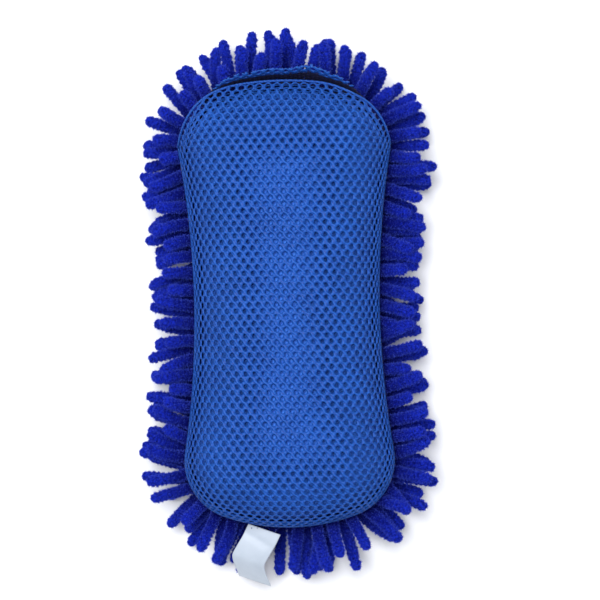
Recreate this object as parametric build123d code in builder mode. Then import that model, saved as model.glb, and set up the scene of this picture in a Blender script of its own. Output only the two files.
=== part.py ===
"""A foam-cored wash mitt with a mesh back, chenille fingers and a hand pocket.

Millimetres, +Z up. The mitt lies on its chenille palm with the mesh back upwards and
the open end of the hand pocket towards +Y. The origin is on the ground, under the
middle of the mitt.
"""

import os

from build123d import *

os.makedirs("parts", exist_ok=True)

# ---------------------------------------------------------------- driving dimensions
BODY_HALF_LENGTH = 105.0  # middle of the mitt to either end of the covers
WAIST_HALF_WIDTH = 43.8  # half width at the narrow middle
SHOULDER_HALF_WIDTH = 53.2  # half width of the sides carried on to the corners
SHOULDER_Y = 88.0  # where sides and ends would meet without their round corners
CORNER_RADIUS = 28.0
CORNER_SHARE_X = 1.12  # how far that meeting point moves out for each mm of growth,
CORNER_SHARE_Y = 0.43  # so that the grown arcs stay parallel to these

BACKING_BOTTOM = 13.0  # the palm fingers hold the ground cloth this high
BACKING_THICK = 1.8
BACKING_EDGE_RADIUS = 9.0
SEAM_BOTTOM = 33.6  # the rim seam joins the meshes to the ground cloth
SEAM_HEIGHT = 0.8
SEAM_DEPTH = 2.1

OUTER_TOP = 65.0
OUTER_THICK = 1.0
OUTER_EDGE_RADIUS = 24.0
MOUTH_REACH = 8.5  # the outer mesh is cut longer here, so that it stands open
MOUTH_MIDDLE_Y = 102.5  # the mouth's edge curves from here back to the corners
MOUTH_CORNER_Y = 89.0
MOUTH_CORNER_X = 50.0

INNER_INSET = 1.3
INNER_TOP = 55.1
INNER_THICK = 0.8
INNER_EDGE_RADIUS = 17.0
LIP_Z = 46.0  # the raw edge of the inner mesh stands out past the mouth
LIP_REACH = 5.0
LIP_HALF_WIDTH = 36.0

FOAM_INSET = 2.4
FOAM_BOTTOM = 15.1
FOAM_TOP = 54.0
FOAM_TOP_RADIUS = 15.9
FOAM_BOTTOM_RADIUS = 6.6

FINGER_RADIUS = 3.1
FINGER_REACH = 21.0  # from the wall of the mitt to a finger's tip
FINGER_ROOT = 6.0  # spare length inside the wall, trimmed to its shape
RIM_LEVELS = {"upper": 30.4, "middle": 23.9, "lower": 17.4}
RIM_TILTS = {"upper": 5.0, "middle": 0.0, "lower": -8.0}
RIM_COUNT = 70  # fingers in one whole turn of the rim
SIDE_END_Y = 68.0  # past this a finger belongs to the mouth or toe side

PALM_ROWS = 9
PALM_PITCH = 9.0
PALM_ROW_LENGTH = 23
PALM_MARGIN = 7.0  # the outermost palm fingers stand this far inside the outline
TIP_FLAT = 0.8  # the weight of the mitt flattens each palm finger's tip this much

LABEL_X = -12.0
LABEL_WIDTH = 16.0
LABEL_THICK = 0.4
LABEL_GAP = 0.8  # from the wall of the mitt to the fold line of the label
LABEL_Z = 35.6
LABEL_STRAIGHT = 12.0
LABEL_BEND_RADIUS = 10.0
LABEL_BEND = 65.0
LABEL_CLEARANCE = 3.2  # upper fingers keep this far from the label's sides
STITCH_WIDTH = 0.6
STITCH_COUNT = 5
STITCH_PITCH = 3.2

LOOSE = 1.0  # how far a cutting solid runs past what it cuts


# ------------------------------------------------------------------- shared shapes
def mitt_outline(grow, mouth_reach=0.0):
    """The figure-8 outline, grown outwards, with its mouth end carried further on."""
    shoulder_x = SHOULDER_HALF_WIDTH + CORNER_SHARE_X * grow
    foot_y = -SHOULDER_Y - CORNER_SHARE_Y * grow
    head_y = -foot_y + mouth_reach
    waist_x = WAIST_HALF_WIDTH + grow
    head_x = waist_x + (shoulder_x - waist_x) * (head_y / foot_y) ** 2
    end_y = BODY_HALF_LENGTH + grow
    with BuildSketch() as outline:
        with BuildLine():
            ThreePointArc((shoulder_x, foot_y), (waist_x, 0), (head_x, head_y))
            ThreePointArc((head_x, head_y), (0, end_y + mouth_reach), (-head_x, head_y))
            ThreePointArc((-head_x, head_y), (-waist_x, 0), (-shoulder_x, foot_y))
            ThreePointArc((-shoulder_x, foot_y), (0, -end_y), (shoulder_x, foot_y))
        make_face()
        fillet(outline.vertices(), radius=CORNER_RADIUS + grow)
    return outline.sketch


def rounded_block(grow, bottom, top, bottom_radius=0.0, top_radius=0.0, mouth_reach=0.0):
    """A block of the mitt's outline, from bottom to top, with round edges."""
    outline = mitt_outline(grow, mouth_reach)
    with BuildPart() as block:
        with BuildSketch(Plane.XY.offset(bottom)):
            add(outline)
        extrude(amount=top - bottom)
        if top_radius:
            fillet(block.faces().sort_by(Axis.Z)[-1].edges(), radius=top_radius)
        if bottom_radius:
            fillet(block.faces().sort_by(Axis.Z)[0].edges(), radius=bottom_radius)
    return block.part


# ------------------------------------------------------------------------ foam core
foam_block = rounded_block(
    -FOAM_INSET, FOAM_BOTTOM, FOAM_TOP, FOAM_BOTTOM_RADIUS, FOAM_TOP_RADIUS
)
with BuildPart() as foam_core:
    add(foam_block)

# ----------------------------------------------------------------- chenille backing
backing_inside = rounded_block(
    -BACKING_THICK,
    BACKING_BOTTOM + BACKING_THICK,
    SEAM_BOTTOM + LOOSE,
    bottom_radius=BACKING_EDGE_RADIUS - BACKING_THICK,
)
backing_outside = rounded_block(
    0.0, BACKING_BOTTOM, SEAM_BOTTOM, bottom_radius=BACKING_EDGE_RADIUS
)
with BuildPart() as chenille_backing:
    add(backing_outside)
    add(backing_inside, mode=Mode.SUBTRACT)

# ------------------------------------------------------------------------- rim seam
seam_outside = mitt_outline(0.0)
seam_inside = mitt_outline(-SEAM_DEPTH)
with BuildPart() as rim_seam:
    with BuildSketch(Plane.XY.offset(SEAM_BOTTOM)):
        add(seam_outside)
        add(seam_inside, mode=Mode.SUBTRACT)
    extrude(amount=SEAM_HEIGHT)

# ---------------------------------------------------- inner mesh, floor of the pocket
MESH_BOTTOM = SEAM_BOTTOM + SEAM_HEIGHT
inner_inside = rounded_block(
    -INNER_INSET - INNER_THICK,
    MESH_BOTTOM - LOOSE,
    INNER_TOP - INNER_THICK,
    top_radius=INNER_EDGE_RADIUS - INNER_THICK,
)
inner_outside = rounded_block(
    -INNER_INSET, MESH_BOTTOM, INNER_TOP, top_radius=INNER_EDGE_RADIUS
)
lip_outline = mitt_outline(LIP_REACH)
with BuildPart() as inner_mesh:
    add(inner_outside)
    with BuildSketch(Plane.XY.offset(LIP_Z)):
        with Locations((0, BODY_HALF_LENGTH - LIP_REACH)):
            Rectangle(2 * LIP_HALF_WIDTH, 4 * LIP_REACH)
        add(lip_outline, mode=Mode.INTERSECT)
    extrude(amount=INNER_THICK)
    add(inner_inside, mode=Mode.SUBTRACT)

# ----------------------------------------------------- outer mesh, roof of the pocket
outer_inside = rounded_block(
    -OUTER_THICK,
    MESH_BOTTOM - LOOSE,
    OUTER_TOP - OUTER_THICK,
    top_radius=OUTER_EDGE_RADIUS - OUTER_THICK,
    mouth_reach=MOUTH_REACH,
)
outer_outside = rounded_block(
    0.0, MESH_BOTTOM, OUTER_TOP, top_radius=OUTER_EDGE_RADIUS, mouth_reach=MOUTH_REACH
)
far_y = BODY_HALF_LENGTH + 2 * MOUTH_REACH
with BuildPart() as outer_mesh:
    add(outer_outside)
    add(outer_inside, mode=Mode.SUBTRACT)
    with BuildSketch(Plane.XY):
        with BuildLine():
            mouth_arc = ThreePointArc(
                (MOUTH_CORNER_X, MOUTH_CORNER_Y),
                (0, MOUTH_MIDDLE_Y),
                (-MOUTH_CORNER_X, MOUTH_CORNER_Y),
            )
            Polyline(
                mouth_arc @ 1,
                (-MOUTH_CORNER_X - SHOULDER_Y, MOUTH_CORNER_Y),
                (-MOUTH_CORNER_X - SHOULDER_Y, far_y),
                (MOUTH_CORNER_X + SHOULDER_Y, far_y),
                (MOUTH_CORNER_X + SHOULDER_Y, MOUTH_CORNER_Y),
                mouth_arc @ 0,
            )
        make_face()
    extrude(amount=OUTER_TOP + LOOSE, mode=Mode.SUBTRACT)

# ----------------------------------------------------------------- chenille fingers
with BuildPart() as rim_finger:
    Cylinder(
        radius=FINGER_RADIUS,
        height=FINGER_ROOT + FINGER_REACH - FINGER_RADIUS,
        align=(Align.CENTER, Align.CENTER, Align.MIN),
    )
    with Locations((0, 0, FINGER_ROOT + FINGER_REACH - FINGER_RADIUS)):
        Sphere(radius=FINGER_RADIUS)

palm_height = BACKING_BOTTOM + FINGER_ROOT
with BuildPart() as palm_finger:
    with Locations((0, 0, FINGER_RADIUS - TIP_FLAT)):
        Sphere(radius=FINGER_RADIUS)
        Cylinder(
            radius=FINGER_RADIUS,
            height=palm_height - FINGER_RADIUS,
            align=(Align.CENTER, Align.CENTER, Align.MIN),
        )
    split(bisect_by=Plane.XY, keep=Keep.TOP)

rim_wire = mitt_outline(0.0).face().outer_wire()
finger_envelope = rounded_block(
    0.0, BACKING_BOTTOM, OUTER_TOP, bottom_radius=BACKING_EDGE_RADIUS
)


def rim_side(point):
    """The side of the mitt that a point of its outline belongs to."""
    if point.Y > SIDE_END_Y:
        return "mouth"
    if point.Y < -SIDE_END_Y:
        return "toe"
    return "right" if point.X > 0 else "left"


def rim_planes(level, side):
    """Planes at the roots of one row's fingers, each facing along its finger."""
    planes = []
    stagger = 0.5 if level == "middle" else 0.0
    clear_x = LABEL_WIDTH / 2 + FINGER_RADIUS + LABEL_CLEARANCE
    for number in range(RIM_COUNT):
        place = ((number + stagger) / RIM_COUNT) % 1.0
        point = rim_wire @ place
        along = rim_wire % place
        outward = Vector(along.Y, -along.X, 0)
        if outward.dot(point) < 0:
            outward = -outward
        if rim_side(point) != side:
            continue
        under_label = side == "toe" and abs(point.X - LABEL_X) < clear_x
        if level == "upper" and under_label:
            continue
        facing = outward.rotate(Axis((0, 0, 0), along), RIM_TILTS[level])
        if facing.Z * RIM_TILTS[level] < 0:
            facing = outward.rotate(Axis((0, 0, 0), along), -RIM_TILTS[level])
        root = Vector(point.X, point.Y, RIM_LEVELS[level]) - facing * FINGER_ROOT
        planes.append(Plane(origin=root, x_dir=along, z_dir=facing))
    return planes


for side in ("left", "right", "mouth", "toe"):
    for level in RIM_LEVELS:
        with BuildPart() as rim_row:
            with Locations(*rim_planes(level, side)):
                add(rim_finger.part)
            add(finger_envelope, mode=Mode.SUBTRACT)
        rim_row.part.label = f"rim_row_{side}_{level}"
        export_step(rim_row.part, f"parts/{rim_row.part.label}.step")

palm_zone = mitt_outline(-PALM_MARGIN).face()
for row in range(PALM_ROWS):
    row_x = (row - (PALM_ROWS - 1) / 2) * PALM_PITCH
    shift = PALM_PITCH / 2 if row % 2 else 0.0
    roots = []
    for number in range(PALM_ROW_LENGTH):
        root = Vector(row_x, (number - (PALM_ROW_LENGTH - 1) / 2) * PALM_PITCH + shift, 0)
        if palm_zone.is_inside(root):
            roots.append(root)
    with BuildPart() as palm_row:
        with Locations(*roots):
            add(palm_finger.part)
        add(finger_envelope, mode=Mode.SUBTRACT)
    palm_row.part.label = f"palm_row_{row + 1}"
    export_step(palm_row.part, f"parts/{palm_row.part.label}.step")

# ----------------------------------------------------------------------- care label
label_root_y = -(BODY_HALF_LENGTH + LABEL_GAP)
with BuildPart() as care_label:
    with BuildSketch(Plane.YZ.offset(LABEL_X)):
        with BuildLine():
            flat = Line((label_root_y, LABEL_Z), (label_root_y - LABEL_STRAIGHT, LABEL_Z))
            JernArc(flat @ 1, flat % 1, LABEL_BEND_RADIUS, LABEL_BEND)
        trace(line_width=LABEL_THICK)
    extrude(amount=LABEL_WIDTH / 2, both=True)

# ------------------------------------------------------------------- label stitches
with BuildPart() as label_stitches:
    with Locations((LABEL_X, -BODY_HALF_LENGTH, MESH_BOTTOM)):
        with GridLocations(STITCH_PITCH, 1, STITCH_COUNT, 1):
            Box(STITCH_WIDTH, 2 * STITCH_WIDTH, 2 * SEAM_HEIGHT, align=Align.CENTER)
    add(finger_envelope, mode=Mode.SUBTRACT)

# --------------------------------------------------------------------------- export
foam_core.part.label = "foam_core"
chenille_backing.part.label = "chenille_backing"
rim_seam.part.label = "rim_seam"
inner_mesh.part.label = "inner_mesh"
outer_mesh.part.label = "outer_mesh"
care_label.part.label = "care_label"
label_stitches.part.label = "label_stitches"

for piece in (
    foam_core,
    chenille_backing,
    rim_seam,
    inner_mesh,
    outer_mesh,
    care_label,
    label_stitches,
):
    export_step(piece.part, f"parts/{piece.part.label}.step")
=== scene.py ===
"""Visual model of a foam-cored wash mitt: mesh back, hand pocket, chenille fingers and label.

Metres, +Z up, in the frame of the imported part. The mitt lies on its chenille palm with
the mesh back upwards and the mouth of the hand pocket towards +Y.
"""

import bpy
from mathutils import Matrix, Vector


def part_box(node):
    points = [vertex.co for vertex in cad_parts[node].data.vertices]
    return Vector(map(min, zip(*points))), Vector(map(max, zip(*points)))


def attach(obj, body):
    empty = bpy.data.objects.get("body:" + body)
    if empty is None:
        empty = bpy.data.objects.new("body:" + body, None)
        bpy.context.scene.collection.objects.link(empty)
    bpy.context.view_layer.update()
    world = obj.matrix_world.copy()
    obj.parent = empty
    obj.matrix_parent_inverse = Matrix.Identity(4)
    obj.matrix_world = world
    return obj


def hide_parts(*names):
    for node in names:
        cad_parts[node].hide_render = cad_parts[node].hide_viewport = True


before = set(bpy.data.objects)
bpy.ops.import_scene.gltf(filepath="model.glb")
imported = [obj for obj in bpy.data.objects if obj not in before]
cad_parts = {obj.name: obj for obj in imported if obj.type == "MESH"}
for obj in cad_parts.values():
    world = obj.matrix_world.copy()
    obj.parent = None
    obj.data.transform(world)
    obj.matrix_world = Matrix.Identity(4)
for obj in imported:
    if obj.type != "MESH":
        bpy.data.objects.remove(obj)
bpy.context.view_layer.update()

import logging
import math
from collections.abc import Callable, Iterator
from contextlib import contextmanager
from dataclasses import dataclass, field
from enum import Enum
from functools import partial

import bmesh
import bpy
import numpy as np
from mathutils import Vector, noise
from mathutils.bvhtree import BVHTree

LOG = logging.getLogger("wash_mitt")
MM = 0.001
BODY = "mitt"
LABEL_BODY = "label"
FLAT_SPAN = 0.4  # side of the square of flat cloth that a UV map's 0 to 1 covers
LABEL_WIDTH = 16.2 * MM
MATH = "ShaderNodeMath"
VECTOR_MATH = "ShaderNodeVectorMath"
STORE = "GeometryNodeStoreNamedAttribute"
NAMED = "GeometryNodeInputNamedAttribute"


# ------------------------------------------------------------------------- helpers
def linear(hex_colour: str) -> tuple[float, float, float, float]:
    """Turn an sRGB hex colour into the linear RGBA that Blender's sockets hold.

    Args:
        hex_colour: Six hex digits.

    Returns:
        Linear red, green, blue and an alpha of 1.
    """
    values = [int(hex_colour[i : i + 2], 16) / 255 for i in (0, 2, 4)]
    rgb = [v / 12.92 if v <= 0.04045 else ((v + 0.055) / 1.055) ** 2.4 for v in values]
    return (rgb[0], rgb[1], rgb[2], 1.0)


def add_node(tree: bpy.types.NodeTree, kind: str, settings: dict | str | None = None,
             inputs: dict | list | None = None) -> bpy.types.Node:
    """Add one node, set its properties, and fill or link its input sockets.

    Args:
        tree: The shader or geometry tree that gets the node.
        kind: The node's type name.
        settings: Properties of the node itself, or just its operation's name.
        inputs: Socket name or number to a value, to the socket that feeds it, or to a
            node whose first live output feeds it. A list fills the sockets in order.

    Returns:
        The new node.
    """
    node = tree.nodes.new(kind)
    if isinstance(settings, str):
        settings = {"operation": settings}
    for name, value in (settings or {}).items():
        setattr(node, name, value)
    if isinstance(inputs, list):
        inputs = dict(enumerate(inputs))
    for name, value in (inputs or {}).items():
        if isinstance(value, bpy.types.Node):
            value = next(socket for socket in value.outputs if socket.enabled)
        if isinstance(value, bpy.types.NodeSocket):
            tree.links.new(value, node.inputs[name])
        else:
            node.inputs[name].default_value = value
    return node


def new_tree(name: str, inputs: dict[str, str], output: str) -> tuple:
    """Start a geometry tree with named inputs and one output.

    Args:
        name: The tree's name.
        inputs: Each input's name to its kind of socket.
        output: The output's name.

    Returns:
        The tree and the sockets that carry its inputs.
    """
    tree = bpy.data.node_groups.new(name, "GeometryNodeTree")
    for label, kind in inputs.items():
        tree.interface.new_socket(name=label, in_out="INPUT", socket_type=f"NodeSocket{kind}")
    tree.interface.new_socket(name=output, in_out="OUTPUT", socket_type="NodeSocketGeometry")
    return tree, add_node(tree, "NodeGroupInput").outputs


def end_tree(tree: bpy.types.GeometryNodeTree, made: bpy.types.Node,
             material: bpy.types.NodeSocket) -> bpy.types.GeometryNodeTree:
    """End a geometry tree in real geometry that wears its material."""
    real = add_node(tree, "GeometryNodeRealizeInstances", inputs=[made])
    dressed = add_node(tree, "GeometryNodeSetMaterial", inputs={
        "Geometry": real, "Material": material})
    add_node(tree, "NodeGroupOutput", inputs=[dressed])
    return tree


def linked(name: str, mesh: bpy.types.Mesh) -> bpy.types.Object:
    """Make an object of a mesh, at the origin, and link it to the scene."""
    mesh.name = name
    made = bpy.data.objects.new(name, mesh)
    bpy.context.scene.collection.objects.link(made)
    return made


def mesh_object(name: str, verts: np.ndarray, faces: list,
                edges: list | None = None) -> bpy.types.Object:
    """Make a mesh object at the origin and link it to the scene.

    Args:
        name: The object's and the mesh's name.
        verts: Vertex positions in metres, one row each.
        faces: Vertex numbers of each face.
        edges: Vertex numbers of each loose edge.

    Returns:
        The new object.
    """
    mesh = bpy.data.meshes.new(name)
    mesh.from_pydata([tuple(v) for v in verts], edges or [], faces)
    mesh.update()
    return linked(name, mesh)


def smooth(obj: bpy.types.Object) -> bpy.types.Object:
    """Shade every face of the object smooth."""
    for polygon in obj.data.polygons:
        polygon.use_smooth = True
    return obj


def dress(obj: bpy.types.Object, material: bpy.types.Material) -> bpy.types.Object:
    """Give the object this one material."""
    obj.data.materials.clear()
    obj.data.materials.append(material)
    return obj


def baked(obj: bpy.types.Object, name: str) -> bpy.types.Object:
    """Turn an object and its modifiers into a plain mesh object, and drop the source.

    Args:
        obj: The object whose modifiers are still live.
        name: The name of the plain mesh object.

    Returns:
        The plain mesh object, at the origin.
    """
    depsgraph = bpy.context.evaluated_depsgraph_get()
    mesh = bpy.data.meshes.new_from_object(obj.evaluated_get(depsgraph), depsgraph=depsgraph)
    bpy.data.objects.remove(obj)
    return linked(name, mesh)


def grown(source: bpy.types.Object, tree: bpy.types.GeometryNodeTree, given: dict,
          name: str) -> bpy.types.Object:
    """Run a geometry tree on an object and keep what it makes as a plain mesh.

    Args:
        source: The object that the tree starts from. It is removed.
        tree: The geometry tree.
        given: The tree's inputs, by name.
        name: The name of the plain mesh object.

    Returns:
        The plain mesh object.
    """
    modifier = source.modifiers.new("grown", "NODES")
    modifier.node_group = tree
    for item in tree.interface.items_tree:
        if item.item_type == "SOCKET" and item.name in given:
            modifier[item.identifier] = given[item.name]
    bpy.context.view_layer.update()
    return baked(source, name)


@contextmanager
def edited(mesh: bpy.types.Mesh) -> Iterator[bmesh.types.BMesh]:
    """Open a mesh for editing, and write it back at the end."""
    shape = bmesh.new()
    shape.from_mesh(mesh)
    yield shape
    shape.to_mesh(mesh)
    shape.free()


def point_outwards(obj: bpy.types.Object) -> bpy.types.Object:
    """Recalculate a closed mesh's normals so that its faces point outwards."""
    with edited(obj.data) as shape:
        bmesh.ops.recalc_face_normals(shape, faces=shape.faces)
    return obj


def stand_in(piece: bpy.types.Object, node: str, body: str = BODY) -> None:
    """Let a piece ride on a body and stand for a CAD node, whose part is hidden."""
    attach(piece, body)
    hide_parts(node)


def eased(line: np.ndarray, times: int) -> np.ndarray:
    """Round off a line of points between its two ends."""
    for _ in range(times):
        line[1:-1] = (line[:-2] + 2 * line[1:-1] + line[2:]) / 4
    return line


# ----------------------------------------------------------------------- materials
def wave_scale(period: float) -> float:
    """The scale of a Wave Texture whose bands are this far apart."""
    return math.pi / (10 * period)


@dataclass(frozen=True)
class Finish:
    """What every finish has: a name, a colour and the bare surface's response."""

    name: str
    colour: str
    roughness: float = 0.7
    ior: float = 1.5
    specular: float = 0.5
    sheen: float = 0.0
    sheen_roughness: float = 0.5
    sheen_tint: str = "ffffff"
    relief: float = 0.6
    depth: float = 0.1 * MM

    def pattern(self, node: Callable, place: bpy.types.NodeOutputs) -> tuple:
        """Build the finish's pattern.

        Args:
            node: Adds a node to the material.
            place: The texture coordinates.

        Returns:
            The node that gives the colour and the socket that gives the height.
        """
        raise NotImplementedError

    def build(self) -> bpy.types.Material:
        """Build the material: its shader, its pattern and the relief."""
        material = bpy.data.materials.new(self.name)
        material.use_nodes = True
        material.diffuse_color = linear(self.colour)
        tree = material.node_tree
        shader = tree.nodes["Principled BSDF"]
        for socket, value in (("Roughness", self.roughness), ("IOR", self.ior),
                              ("Specular IOR Level", self.specular),
                              ("Sheen Weight", self.sheen),
                              ("Sheen Roughness", self.sheen_roughness),
                              ("Sheen Tint", linear(self.sheen_tint))):
            shader.inputs[socket].default_value = value
        node = partial(add_node, tree)
        tint, height = self.pattern(node, node("ShaderNodeTexCoord").outputs)
        bump = node("ShaderNodeBump", inputs={
            "Height": height, "Strength": self.relief, "Distance": self.depth})
        live = next(socket for socket in tint.outputs if socket.enabled)
        tree.links.new(live, shader.inputs["Base Color"])
        tree.links.new(bump.outputs[0], shader.inputs["Normal"])
        return material


@dataclass(frozen=True)
class WarpKnitMesh(Finish):
    """Warp-knitted polyester net: bright filament yarn, heat set, with a soft shine.

    The loops of the yarn show as fine ribs along each bar of the net, with a painted
    highlight on each rib's crest, the filaments catch light at a glance, and dye takes
    slightly unevenly across the cloth. The ribs are drawn at twice the yarn's width,
    because finer ones don't show.
    """

    specular: float = 0.18
    sheen: float = 0.05
    sheen_roughness: float = 0.4
    sheen_tint: str = "4f8cff"
    relief: float = 0.8
    depth: float = 0.2 * MM
    shade: str = "0c3280"
    # colour of the painted highlight on the crests of the loops' ribs
    bright: str = "3070d0"
    yarn: float = 0.55 * MM
    rib: float = 1.0857 * MM
    cloud: float = 14 * MM

    def pattern(self, node: Callable, place: bpy.types.NodeOutputs) -> tuple:
        """Cloudy dye, flecks of yarn and ribs of loops with a painted highlight on each crest.
        """
        where = place["Object"]
        cloud = node("ShaderNodeTexNoise", inputs={
            "Vector": where, "Scale": 1 / self.cloud, "Detail": 3.0})
        fleck = node("ShaderNodeTexNoise", inputs={
            "Vector": where, "Scale": 1 / self.yarn, "Detail": 2.0})
        both = node(MATH, "MULTIPLY_ADD", [cloud, 0.4, fleck])
        level = node("ShaderNodeMapRange", inputs={
            "Value": both, "From Min": 0.5, "From Max": 0.95})
        tint = node("ShaderNodeMix", {"data_type": "RGBA"}, {
            "Factor": level, 6: linear(self.shade), 7: linear(self.colour)})
        loops = node("ShaderNodeTexWave", {"bands_direction": "DIAGONAL"}, {
            "Vector": where, "Scale": wave_scale(self.rib), "Distortion": 3.0,
            "Detail": 2.0}).outputs["Fac"]
        # painted highlight: the colour lightens towards the bright colour on the ribs' crests,
        # where light would catch the rounded yarn
        crest = node("ShaderNodeMapRange", inputs={
            "Value": loops, "To Min": 0.0, "To Max": 0.34})
        lined = node("ShaderNodeMix", {"data_type": "RGBA"}, {
            "Factor": crest, 6: tint, 7: linear(self.bright)})
        return lined, loops


@dataclass(frozen=True)
class ChenillePile(Finish):
    """Microfibre chenille yarn: short split fibres standing out from a twisted core.

    Light sinks in between the fibres and catches the ends of those seen edge on, so
    every rim is paler; each fibre's tip also carries a painted highlight. The colour
    paints shade as well: darker in the hollows between tufts, and darker towards the
    root of a finger, where the fingers and the cloth shade it. The yarn's rows of tufts
    show as soft rings.
    """

    specular: float = 0.05
    sheen: float = 0.5
    sheen_roughness: float = 0.35
    sheen_tint: str = "4058ff"
    relief: float = 0.9
    depth: float = 0.5 * MM
    # colour of the painted shade in the hollows between tufts and at each finger's root
    painted_shade_colour: str = "03054a"
    # colour of the painted highlight on each fibre's tip
    tip_highlight_colour: str = "5067f2"
    tuft: float = 1.1 * MM
    fibre: float = 0.32 * MM

    def pattern(self, node: Callable, place: bpy.types.NodeOutputs) -> tuple:
        """Tufts and fibres, painted shade in hollows and at the root, painted tip highlights.
        """
        where = place["Object"]
        tufts = node("ShaderNodeTexNoise", inputs={
            "Vector": where, "Scale": 1 / self.tuft, "Detail": 3.0, "Roughness": 0.6})
        fibres = node("ShaderNodeTexNoise", inputs={
            "Vector": where, "Scale": 1 / self.fibre, "Detail": 2.0})
        height = node(MATH, "MULTIPLY_ADD", [fibres, 0.5, tufts])
        level = node("ShaderNodeMapRange", inputs={
            "Value": height, "From Min": 0.55, "From Max": 0.98})
        # painted shade: the colour darkens towards the dark shade colour where the tufts'
        # height is low, in the hollows between them
        tint = node("ShaderNodeMix", {"data_type": "RGBA"}, {
            "Factor": level, 6: linear(self.painted_shade_colour), 7: linear(self.colour)})
        tip, along = [node("ShaderNodeAttribute", {"attribute_name": name}).outputs["Fac"]
                      for name in ("tip", "along")]
        # painted shade: darker towards each finger's root, where the fingers and the cloth
        # shade it; fibre tips are left out
        root_shade_fade = node("ShaderNodeMapRange", inputs={
            "Value": along, "From Min": 0.15, "From Max": 0.8})
        root_shade_fade_off_tips = node(MATH, "MAXIMUM", [root_shade_fade, tip])
        shaded = node("ShaderNodeMix", {"data_type": "RGBA"}, {
            "Factor": root_shade_fade_off_tips, 6: linear(self.painted_shade_colour), 7: tint})
        # painted highlight: each fibre's tip is paler, as if it catches the light
        pale = node("ShaderNodeMix", {"data_type": "RGBA"}, {
            "Factor": tip, 6: shaded, 7: linear(self.tip_highlight_colour)})
        return pale, height


@dataclass(frozen=True)
class GroundKnit(Finish):
    """Knitted polyester ground cloth that the chenille is looped through: matt ribs.

    The ribs are drawn at twice a wale's width.
    """

    depth: float = 0.25 * MM
    shade: str = "060a38"
    rib: float = 2.7635 * MM

    def pattern(self, node: Callable, place: bpy.types.NodeOutputs) -> tuple:
        """Straight ribs, dark between them."""
        wales = node("ShaderNodeTexWave", {"bands_direction": "X"}, {
            "Vector": place["Object"], "Scale": wave_scale(self.rib),
            "Distortion": 1.0}).outputs["Fac"]
        return node("ShaderNodeMix", {"data_type": "RGBA"}, {
            "Factor": wales, 6: linear(self.shade), 7: linear(self.colour)}), wales


@dataclass(frozen=True)
class OpenCellFoam(Finish):
    """Open-cell polyurethane foam, cut from a block: dull, with pores of about 1 mm."""

    relief: float = 0.7
    depth: float = 0.4 * MM
    shade: str = "1f4fb4"
    pore: float = 1.3 * MM

    def pattern(self, node: Callable, place: bpy.types.NodeOutputs) -> tuple:
        """Round pores, dark in the middle."""
        pores = node("ShaderNodeTexVoronoi", inputs={
            "Vector": place["Object"], "Scale": 1 / self.pore}).outputs["Distance"]
        return node("ShaderNodeMix", {"data_type": "RGBA"}, {
            "Factor": pores, 6: linear(self.shade), 7: linear(self.colour)}), pores


@dataclass(frozen=True)
class SatinRibbon(Finish):
    """Woven polyester satin ribbon: long floats of bright yarn, smooth and faintly lined.

    The lines are drawn at about twice the width of real floats, so that they show.
    """

    sheen: float = 0.2
    relief: float = 0.12
    depth: float = 0.06 * MM
    shade: str = "adb8c6"
    line: float = 0.727 * MM
    patch: float = 5.4 * MM

    def pattern(self, node: Callable, place: bpy.types.NodeOutputs) -> tuple:
        """Lines along the ribbon over soft cloudy patches, on a map one width across."""
        lines = node("ShaderNodeTexWave", {"bands_direction": "X"}, {
            "Vector": place["UV"], "Scale": wave_scale(self.line / LABEL_WIDTH),
            "Distortion": 0.4}).outputs["Fac"]
        soft = node("ShaderNodeTexNoise", inputs={
            "Vector": place["UV"], "Scale": LABEL_WIDTH / self.patch, "Detail": 2.0})
        return node("ShaderNodeMix", {"data_type": "RGBA"}, {
            "Factor": soft, 6: linear(self.shade), 7: linear(self.colour)}), lines


@dataclass(frozen=True)
class SpunThread(Finish):
    """Spun polyester sewing thread: a matt two-ply twist."""

    shade: str = "0a1358"
    twist: float = 0.987 * MM

    def pattern(self, node: Callable, place: bpy.types.NodeOutputs) -> tuple:
        """Slanting plies, dark between them."""
        plies = node("ShaderNodeTexWave", {"bands_direction": "DIAGONAL"}, {
            "Vector": place["Object"], "Scale": wave_scale(self.twist),
            "Distortion": 1.5}).outputs["Fac"]
        return node("ShaderNodeMix", {"data_type": "RGBA"}, {
            "Factor": plies, 6: linear(self.shade), 7: linear(self.colour)}), plies


class Finishes:
    """The finishes of the mitt, each built once."""

    def __init__(self) -> None:
        """Build every material."""
        self.mesh = WarpKnitMesh("warp_knit_mesh", "1c54b2", 0.5).build()
        # painted light: the inner net is a lighter copy of the mesh's knit, so that the outer
        # net's holes look lit
        self.painted_light_lining = WarpKnitMesh("warp_knit_lining", "3074dc", 0.6, shade="1f54bc").build()
        self.pile = ChenillePile("chenille_pile", "1a30c2", 0.95).build()
        # the ground knit also serves as painted shade in the trough of the mouth's slit
        self.ground = GroundKnit("ground_knit", "080c3c", 0.9).build()
        # the foam's own colour is not known: it is guessed, and made light as painted light, so
        # that what shows through the nets' holes looks lit
        self.foam = OpenCellFoam("open_cell_foam", "3f7fe6", 0.95).build()
        self.satin = SatinRibbon("satin_ribbon", "bfc9d6", 0.45).build()
        self.thread = SpunThread("spun_thread", "141f70", 0.8).build()


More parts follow.
